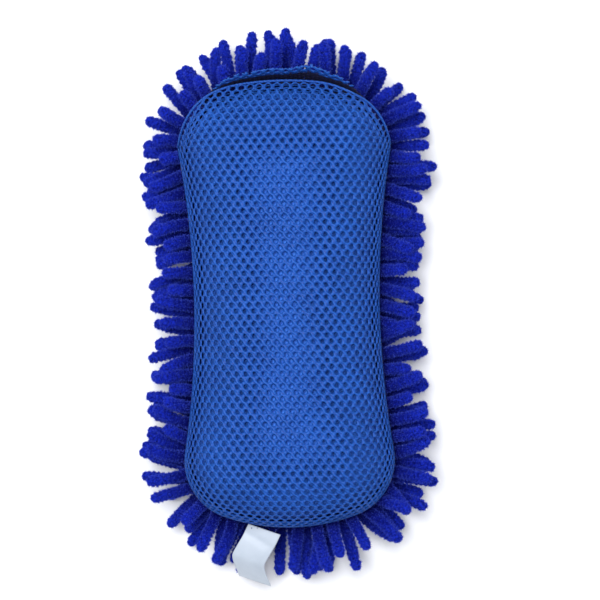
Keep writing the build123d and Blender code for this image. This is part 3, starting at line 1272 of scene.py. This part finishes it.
def joined(name: str, parts: list[bpy.types.Object],
           materials: list[bpy.types.Material]) -> bpy.types.Object:
    """Join plain mesh objects, each with the material of the same place, into one."""
    mesh = bpy.data.meshes.new(name)
    with edited(mesh) as shape:
        done = 0
        for part, material in zip(parts, materials):
            if material.name not in mesh.materials:
                mesh.materials.append(material)
            shape.from_mesh(part.data)
            shape.faces.ensure_lookup_table()
            for face in shape.faces[done:]:
                face.material_index = mesh.materials.find(material.name)
            done = len(shape.faces)
            bpy.data.objects.remove(part)
    return linked(name, mesh)


def tube(name: str, path: np.ndarray, radius: float, sides: int = 10) -> bpy.types.Object:
    """A closed round tube along a path of points.

    Args:
        name: The object's name.
        path: One row of x, y and z for each point.
        radius: The tube's radius.
        sides: Faces round the tube.

    Returns:
        The tube, with rounded-off ends.
    """
    verts, faces = [], []
    count = len(path)
    for number, point in enumerate(path):
        ahead = path[min(number + 1, count - 1)] - path[max(number - 1, 0)]
        ahead = Vector(ahead).normalized()
        across = ahead.cross(Vector((0.0, 0.0, 1.0)))
        if across.length < 1e-4:
            across = Vector((1.0, 0.0, 0.0))
        across.normalize()
        up = across.cross(ahead)
        size = radius * (0.55 if number in (0, count - 1) else 1.0)
        for side in range(sides):
            turn = 2 * math.pi * side / sides
            spoke = across * math.cos(turn) + up * math.sin(turn)
            verts.append(Vector(point) + spoke * size)
    for ring in range(count - 1):
        for side in range(sides):
            after = (side + 1) % sides
            faces.append((ring * sides + side, ring * sides + after,
                          (ring + 1) * sides + after, (ring + 1) * sides + side))
    faces.append(tuple(range(sides)))
    faces.append(tuple(reversed(range((count - 1) * sides, count * sides))))
    return point_outwards(smooth(mesh_object(name, np.array(verts), faces)))


def hump(place: float, middle: float, width: float) -> float:
    """The height, up to 1, of a smooth hump of this middle and width."""
    return math.exp(-(((place - middle) / width) ** 2))


@dataclass
class MeshBack:
    """The two layers of knit net on the mitt's back, with the hand pocket between them."""

    finishes: Finishes
    net: Net = field(default_factory=Net)
    inner_net: Net = field(default_factory=lambda: Net(sides=6))
    spacing: float = 3.0 * MM
    half_thick: float = 0.5 * MM
    outer_roll: float = 24.0 * MM
    outer_reach: float = 8.5 * MM
    outer_sink: float = 2.2 * MM
    outer_crown: float = 1.3 * MM
    outer_swell: float = 0.3 * MM
    inner_roll: float = 17.0 * MM
    inner_inset: float = -1.7 * MM
    inner_sink: float = 0.4 * MM
    inner_crown: float = 8.5 * MM
    inner_crown_width: float = 11.0 * MM
    # the lip's faces below this height, in the slit's trough, wear the dark ground knit as
    # painted shade
    painted_shade_trough_top: float = 52.0 * MM
    mouth_middle: float = 104.5 * MM
    mouth_half: float = 40.0 * MM
    mouth_bow: float = 5.0 * MM
    mouth_turn: float = 5.5 * MM
    mouth_core: float = 35.5 * MM
    gape: float = 1.8 * MM
    gape_x: float = 33.0 * MM
    gape_width: float = 9.0 * MM
    hem_radius: float = 0.55 * MM
    lip_half: float = 39.0 * MM
    lip_columns: int = 70
    lip_profile: tuple = ((-1.2, 44.0), (-0.4, 38.0), (0.7, 35.0), (2.6, 35.0), (3.1, 41.0),
                          (3.3, 48.0), (3.7, 54.0), (4.6, 57.2), (5.6, 58.0))
    end_line: np.ndarray | None = None

    def mouth_y(self, x: float) -> float:
        """How far towards +Y the outer mesh goes at this x, bowed, with one slack place."""
        share = (x / self.mouth_half) ** 2
        back = self.mouth_bow * share + self.mouth_turn * share**3
        return self.mouth_middle - back - self.gape * hump(x, self.gape_x, self.gape_width)

    def build_outer(self) -> None:
        """Build the outer mesh: simulated cloth, knitted net and the folded mouth edge."""
        low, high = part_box("outer_mesh")
        cover = Cover(high.z - self.outer_sink, low.z, self.outer_roll, -self.half_thick,
                      self.outer_reach, self.outer_crown)
        cloth = cover.grid("outer_cloth", self.spacing)
        inflate(cloth, pressure=1.2, frames=14, cap=self.outer_swell)
        edge = self.mouth_path(cloth)
        trimmed = self.trimmed(cloth)
        bpy.data.objects.remove(trimmed)
        net = self.net.on(cloth, "outer_net", self.finishes.mesh,
                          lambda x, y: y < self.mouth_y(x))
        hem = dress(tube("mouth_hem", edge, self.hem_radius), self.finishes.mesh)
        net = smooth(joined("outer_mesh_net", [net, hem], [self.finishes.mesh] * 2))
        stand_in(net, "outer_mesh")

    def trimmed(self, cloth: bpy.types.Object) -> bpy.types.Object:
        """A copy of the cloth without what lies past the mouth's edge."""
        mesh = cloth.data.copy()
        with edited(mesh) as shape:
            middles = [(face, face.calc_center_median()) for face in shape.faces]
            past = [face for face, middle in middles if middle.y > self.mouth_y(middle.x)]
            bmesh.ops.delete(shape, geom=past, context="FACES")
        return bpy.data.objects.new("trimmed_cloth", mesh)

    def mouth_path(self, cloth: bpy.types.Object) -> np.ndarray:
        """The line of the mouth's edge, from one lower corner over the top to the other."""
        surface = BVHTree.FromPolygons([v.co for v in cloth.data.vertices],
                                       [tuple(p.vertices) for p in cloth.data.polygons])
        line = []
        for turn in np.linspace(-1.5, 1.5, 110):
            x = 0.0
            for _ in range(8):
                start = Vector((0.0, self.mouth_y(x), self.mouth_core))
                spot = surface.ray_cast(start, (math.sin(turn), 0.0, math.cos(turn)))[0]
                if spot is None:
                    break
                x = (x + spot.x) / 2 if x else spot.x
            if spot is not None:
                line.append(spot)
        return eased(np.array(line), 3)

    def lip(self) -> bpy.types.Object:
        """The raw edge of the inner mesh, which dips and then stands up past the mouth."""
        verts, flats = [], []
        for column in range(self.lip_columns + 1):
            share = column / self.lip_columns * 2 - 1
            x = self.lip_half * share
            wave = noise.noise(Vector((x / (9 * MM), 0.3, 7.7)))
            bulge = hump(x, 13.0 * MM, 7.0 * MM)
            fade = 1 - share**6
            run = 0.0
            for number, (grow, z) in enumerate(self.lip_profile):
                reach = (grow + (0.9 * wave + 2.6 * bulge) * max(0, number - 2) / 6) * fade
                end_y = self.end_y(x) + reach * MM
                height = (38 + (z - 38) * (0.35 + 0.65 * fade) + wave * 1.0) * MM
                if number:
                    before = verts[-1]
                    run += math.hypot(end_y - before[1], height - before[2])
                verts.append((x, end_y, height))
                flats.append((x, run))
        rows = len(self.lip_profile)
        faces = [(c * rows + r, (c + 1) * rows + r, (c + 1) * rows + r + 1, c * rows + r + 1)
                 for c in range(self.lip_columns) for r in range(rows - 1)]
        strip = smooth(mesh_object("lip_cloth", np.array(verts), faces))
        uv = strip.data.uv_layers.new(name="flat")
        for loop in strip.data.loops:
            flat = flats[loop.vertex_index]
            uv.data[loop.index].uv = (flat[0] / FLAT_SPAN + 0.5, flat[1] / FLAT_SPAN + 0.5)
        return strip

    def end_y(self, x: float) -> float:
        """Where the mouth end of the plan outline lies at this x."""
        if self.end_line is None:
            loop = Outline().loop(0.0, 0.0)
            near = loop[loop[:, 1] > 60 * MM]
            self.end_line = near[near[:, 0].argsort()]
        return float(np.interp(x, self.end_line[:, 0], self.end_line[:, 1]))

    def build_inner(self) -> None:
        """Build the inner mesh, floor of the pocket, with its raw edge past the mouth.

        The lip's faces low in the slit's trough wear the dark ground knit as painted shade.
        """
        low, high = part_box("inner_mesh")
        cover = Cover(high.z - self.inner_sink, low.z, self.inner_roll, self.inner_inset,
                      crown=self.inner_crown, crown_width=self.inner_crown_width)
        cloth = cover.grid("inner_cloth", self.spacing)
        raw_edge = self.lip()
        floor = self.inner_net.on(cloth, "inner_net", self.finishes.painted_light_lining)
        lip = self.net.on(raw_edge, "lip_net", self.finishes.mesh)
        net = smooth(joined("inner_mesh_net", [floor, lip],
                            [self.finishes.painted_light_lining, self.finishes.mesh]))
        # painted shade: faces low in the trough of the mouth's slit wear the dark ground knit,
        # a dark cloth put where there is only shade
        net.data.materials.append(self.finishes.ground)
        for face in net.data.polygons:
            if face.center.z < self.painted_shade_trough_top and face.center.y > self.end_y(face.center.x):
                face.material_index = 2
        stand_in(net, "inner_mesh")

    def build(self) -> None:
        """Build both layers, the inner one first."""
        self.build_inner()
        self.build_outer()


# ------------------------------------------------------------------------ stitches
@dataclass
class Stitches:
    """The thread: an overlock round the rim and a row of bars over the label's end."""

    finishes: Finishes
    thread: float = 0.28 * MM
    rim_long: float = 3.2 * MM
    rim_pitch: float = 2.6 * MM
    rim_slant: float = 0.35
    label_long: float = 1.8 * MM
    label_pitch: float = 2.4 * MM

    def tree(self) -> bpy.types.GeometryNodeTree:
        """The node tree that sets a stitch at even steps along a line."""
        tree, given = new_tree("stitches_on_line", {
            "Line": "Geometry", "Stitch": "Object", "Pitch": "Float", "Slant": "Float",
            "Material": "Material"}, "Stitches")
        node = partial(add_node, tree)
        curve = node("GeometryNodeMeshToCurve", inputs={"Mesh": given["Line"]})
        spots = node("GeometryNodeCurveToPoints", {"mode": "LENGTH"}, {
            "Curve": curve, "Length": given["Pitch"]})
        upright = node("FunctionNodeAlignRotationToVector", {"axis": "X"}, {
            "Vector": spots.outputs["Tangent"]})
        turn = node("ShaderNodeCombineXYZ", inputs={"Y": given["Slant"]})
        slanted = node("FunctionNodeRotateRotation", {"rotation_space": "LOCAL"}, {
            "Rotation": upright, "Rotate By": turn})
        stitch = node("GeometryNodeObjectInfo", inputs={"Object": given["Stitch"]})
        placed = node("GeometryNodeInstanceOnPoints", inputs={
            "Points": spots, "Instance": stitch.outputs["Geometry"], "Rotation": slanted})
        return end_tree(tree, placed, given["Material"])

    def sew(self, name: str, line: np.ndarray, closed: bool, long: float, pitch: float,
            slant: float, node: str) -> None:
        """Sew one line of stitches, which stands for a CAD node.

        Args:
            name: The piece's name.
            line: One row of x, y and z for each point of the line.
            closed: Whether the line comes back to its start.
            long: Length of a stitch.
            pitch: From one stitch to the next.
            slant: How far a stitch leans along the line, in radians.
            node: The CAD node that the stitches stand for.
        """
        edges = [(i, i + 1) for i in range(len(line) - 1)]
        if closed:
            edges.append((len(line) - 1, 0))
        source = mesh_object(f"{name}_line", line, [], edges)
        bend = [(0.0, (0.25 - s * s) * long * 0.5, s * long)
                for s in np.linspace(-0.5, 0.5, 5)]
        stitch = tube(f"{name}_stitch", np.array(bend), self.thread, 6)
        made = smooth(grown(source, self.tree(), {
            "Stitch": stitch, "Pitch": pitch, "Slant": slant,
            "Material": self.finishes.thread}, name))
        bpy.data.objects.remove(stitch)
        stand_in(made, node)
        LOG.info("%s: %d faces", name, len(made.data.polygons))

    def build(self) -> None:
        """Sew the rim and the label."""
        low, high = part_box("rim_seam")
        loop = Outline().loop(0.1 * MM, 0.0, 360)
        rim = np.column_stack([loop, np.full(len(loop), (low.z + high.z) / 2)])
        self.sew("rim_overlock", rim[::-1], True, self.rim_long, self.rim_pitch,
                 self.rim_slant, "rim_seam")
        low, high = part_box("label_stitches")
        label = np.array([(low.x, low.y, high.z), (high.x, low.y, high.z)])
        self.sew("label_bar_stitches", label, False, self.label_long, self.label_pitch,
                 0.0, "label_stitches")


# --------------------------------------------------------------------------- label
@dataclass
class CareLabel:
    """The blank satin label, which lies over the toe's fingers and bends down past them."""

    finishes: Finishes
    thick: float = 0.25 * MM
    slew: float = math.radians(-20)
    columns: int = 24
    root_offset: tuple = (-0.6, -0.3, 0.0)
    way: tuple = ((0, 0, 0), (-2.6, -5.4, -0.2), (-5.6, -10.2, -0.4), (-8.3, -14.8, -1.4),
                  (-7.6, -19.0, -4.4), (-6.0, -23.6, -8.6), (-5.2, -26.4, -11.4))

    def path(self) -> np.ndarray:
        """The label's middle line, from its sewn end to its free end."""
        low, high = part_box("care_label")
        root = np.array([(low.x + high.x) / 2, high.y, high.z])
        knots = root + np.array(self.root_offset) * MM + np.array(self.way) * MM
        fine = np.linspace(0, len(knots) - 1, 41)
        line = np.stack([np.interp(fine, range(len(knots)), knots[:, i])
                         for i in range(3)], 1)
        return eased(line, 6)

    def sheet(self, line: np.ndarray) -> bpy.types.Object:
        """The thin sheet round the middle line, with a map one label width across."""
        across = np.array([math.cos(self.slew), math.sin(self.slew), 0.0])
        last, wide = len(line) - 1, self.columns + 1
        verts = []
        for row, point in enumerate(line):
            share = row / last
            for column in range(wide):
                side = column / self.columns - 0.5
                ripple = min(0.5 * math.sin(side * 5.2 + share * 3.0) * share, 0.1)
                fold = -0.5 * hump(share, 0.17 + side * 0.1, 0.05)
                curl = -1.6 * side * side * (0.3 + share)
                place = point + across * side * LABEL_WIDTH
                verts.append(place + np.array([0, 0, (ripple + fold + curl) * MM]))
        corners = [row * wide + column for row in range(last) for column in range(self.columns)]
        faces = [(k, k + wide, k + wide + 1, k + 1) for k in corners]
        label = mesh_object("satin_label", np.array(verts), faces)
        uv = label.data.uv_layers.new(name="weave")
        for loop in label.data.loops:
            row, column = divmod(loop.vertex_index, wide)
            uv.data[loop.index].uv = (column / self.columns, row / last * 2)
        return label

    def build(self) -> None:
        """Build the label as a draped sheet on its own body."""
        line = self.path()
        label = self.sheet(line)
        body = label.modifiers.new("thickness", "SOLIDIFY")
        body.thickness = self.thick
        label = point_outwards(smooth(baked(label, "satin_label")))
        stand_in(dress(label, self.finishes.satin), "care_label", LABEL_BODY)


# ---------------------------------------------------------------------- the studio
@dataclass(frozen=True)
class Softbox:
    """A square soft light that faces the mitt: its place, its side and its watts."""

    name: str
    place: tuple[float, float, float]
    size: float
    power: float

    def build(self) -> None:
        """Add the light."""
        light = bpy.data.lights.new(self.name, "AREA")
        light.energy = self.power
        light.size = self.size
        lamp = bpy.data.objects.new(self.name, light)
        bpy.context.scene.collection.objects.link(lamp)
        lamp.location = self.place
        lamp.rotation_mode = "QUATERNION"
        lamp.rotation_quaternion = (-Vector(self.place)).to_track_quat("-Z", "Y")


@dataclass
class Studio:
    """A plain pale floor, soft white light from above and the camera straight above."""

    floor_half: float = 3.0
    across: float = 279.0 * MM
    focus_z: float = 55.0 * MM
    lens: float = 110.0
    sensor: float = 36.0
    shift_x: float = 6.2 * MM
    shift_y: float = 2.6 * MM
    roll: float = math.radians(1.0)
    room_light: float = 0.34
    lights: tuple[Softbox, ...] = (
        Softbox("softbox_over", (-0.16, 0.2, 1.3), 0.6, 19.5),
        Softbox("softbox_fill", (0.7, -0.5, 1.0), 1.0, 2.0))

    def build(self) -> None:
        """Build the floor, the lights and the camera."""
        half = self.floor_half
        floor = mesh_object("floor", np.array([
            (-half, -half, 0), (half, -half, 0), (half, half, 0), (-half, half, 0)]),
            [(0, 1, 2, 3)])
        paper = bpy.data.materials.new("white_paper")
        paper.use_nodes = True
        shader = paper.node_tree.nodes["Principled BSDF"]
        shader.inputs["Base Color"].default_value = linear("fbfcff")
        shader.inputs["Roughness"].default_value = 0.9
        shader.inputs["Specular IOR Level"].default_value = 0.1
        dress(floor, paper)
        scene = bpy.context.scene
        scene.world = bpy.data.worlds.new("soft_room")
        scene.world.use_nodes = True
        room = scene.world.node_tree.nodes["Background"].inputs
        room["Color"].default_value = linear("f4f8ff")
        room["Strength"].default_value = self.room_light
        for light in self.lights:
            light.build()
        scene.view_settings.view_transform = "Standard"
        camera = bpy.data.cameras.new("camera")
        camera.sensor_width = self.sensor
        camera.lens = self.lens
        camera.clip_start, camera.clip_end = 0.01, 20.0
        eye = bpy.data.objects.new("camera", camera)
        scene.collection.objects.link(eye)
        distance = self.across / 2 / (self.sensor / 2 / self.lens)
        eye.location = (self.shift_x, self.shift_y, self.focus_z + distance)
        eye.rotation_euler = (0.0, 0.0, -self.roll)
        scene.camera = eye


def main() -> None:
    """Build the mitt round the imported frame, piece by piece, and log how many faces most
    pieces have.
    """
    logging.basicConfig(level=logging.INFO, format="%(name)s %(message)s")
    finishes = Finishes()
    Studio().build()
    for part in (FoamCore, GroundCloth, MeshBack, Chenille, Stitches, CareLabel):
        part(finishes).build()


if __name__ == "__main__":
    main()
